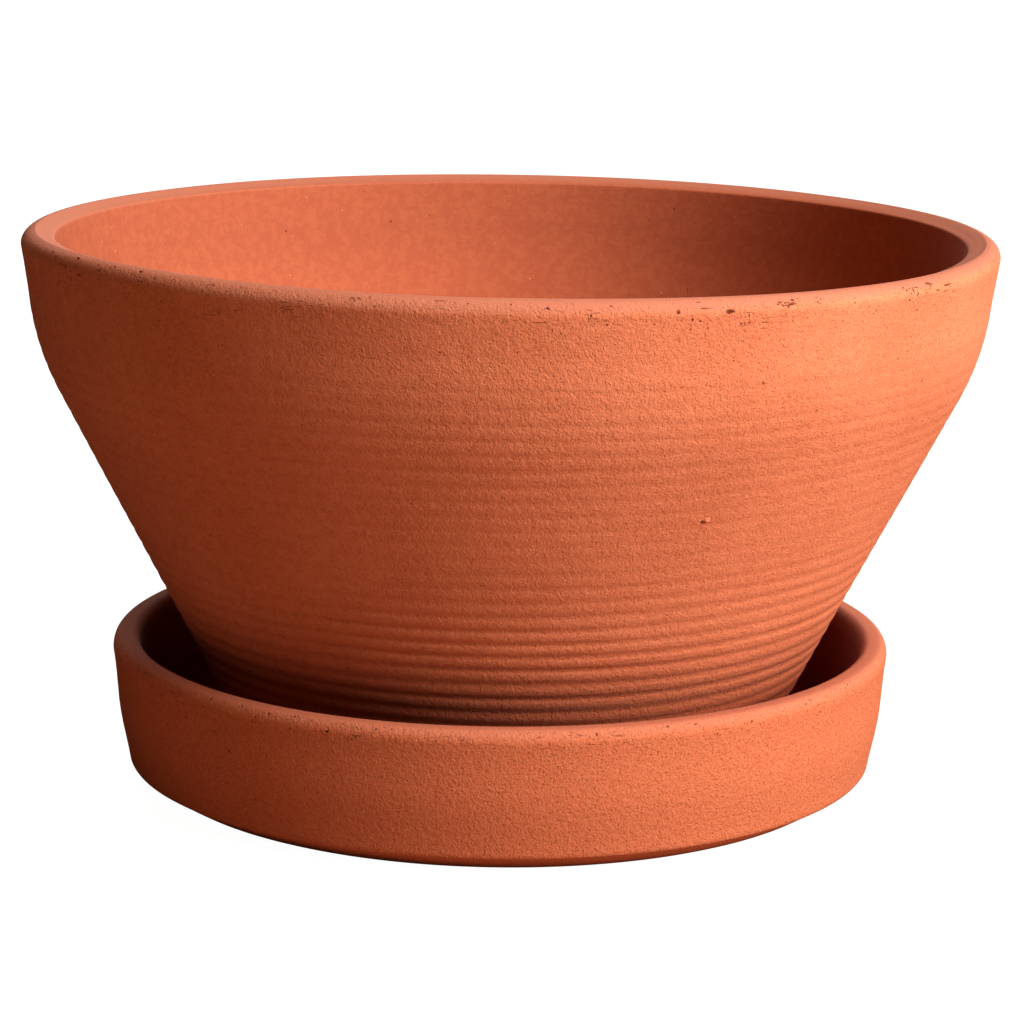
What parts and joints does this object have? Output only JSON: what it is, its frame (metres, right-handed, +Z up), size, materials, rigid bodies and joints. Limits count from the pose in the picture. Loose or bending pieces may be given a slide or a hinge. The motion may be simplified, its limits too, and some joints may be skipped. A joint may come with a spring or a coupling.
{
  "type": "terracotta bowl pot with saucer",
  "caption": "Wide terracotta bowl pot with a drain hole in its base, standing loose in a terracotta saucer that catches the water.",
  "frame": {"origin": "centre of the saucer's flat underside, on the surface that the saucer stands on", "axes": "+Z up, along the axis that both pieces are turned about; +X and +Y are alike, and -Y is taken as the front"},
  "size_m": [0.25, 0.25, 0.1428],
  "materials": {
    "pot_clay": "unglazed, dry, sandy",
    "saucer_clay": "unglazed, dry, sandy"
  },
  "bodies": {
    "saucer": {"saucer": "saucer_clay"},
    "pot": {"pot": "pot_clay"}
  },
  "joints": [
    {"name": "pot_lift", "type": "slide", "parent": "saucer", "child": "pot", "axis": [0, 0, 1], "range_m": [0, 0.06]}
  ]
}
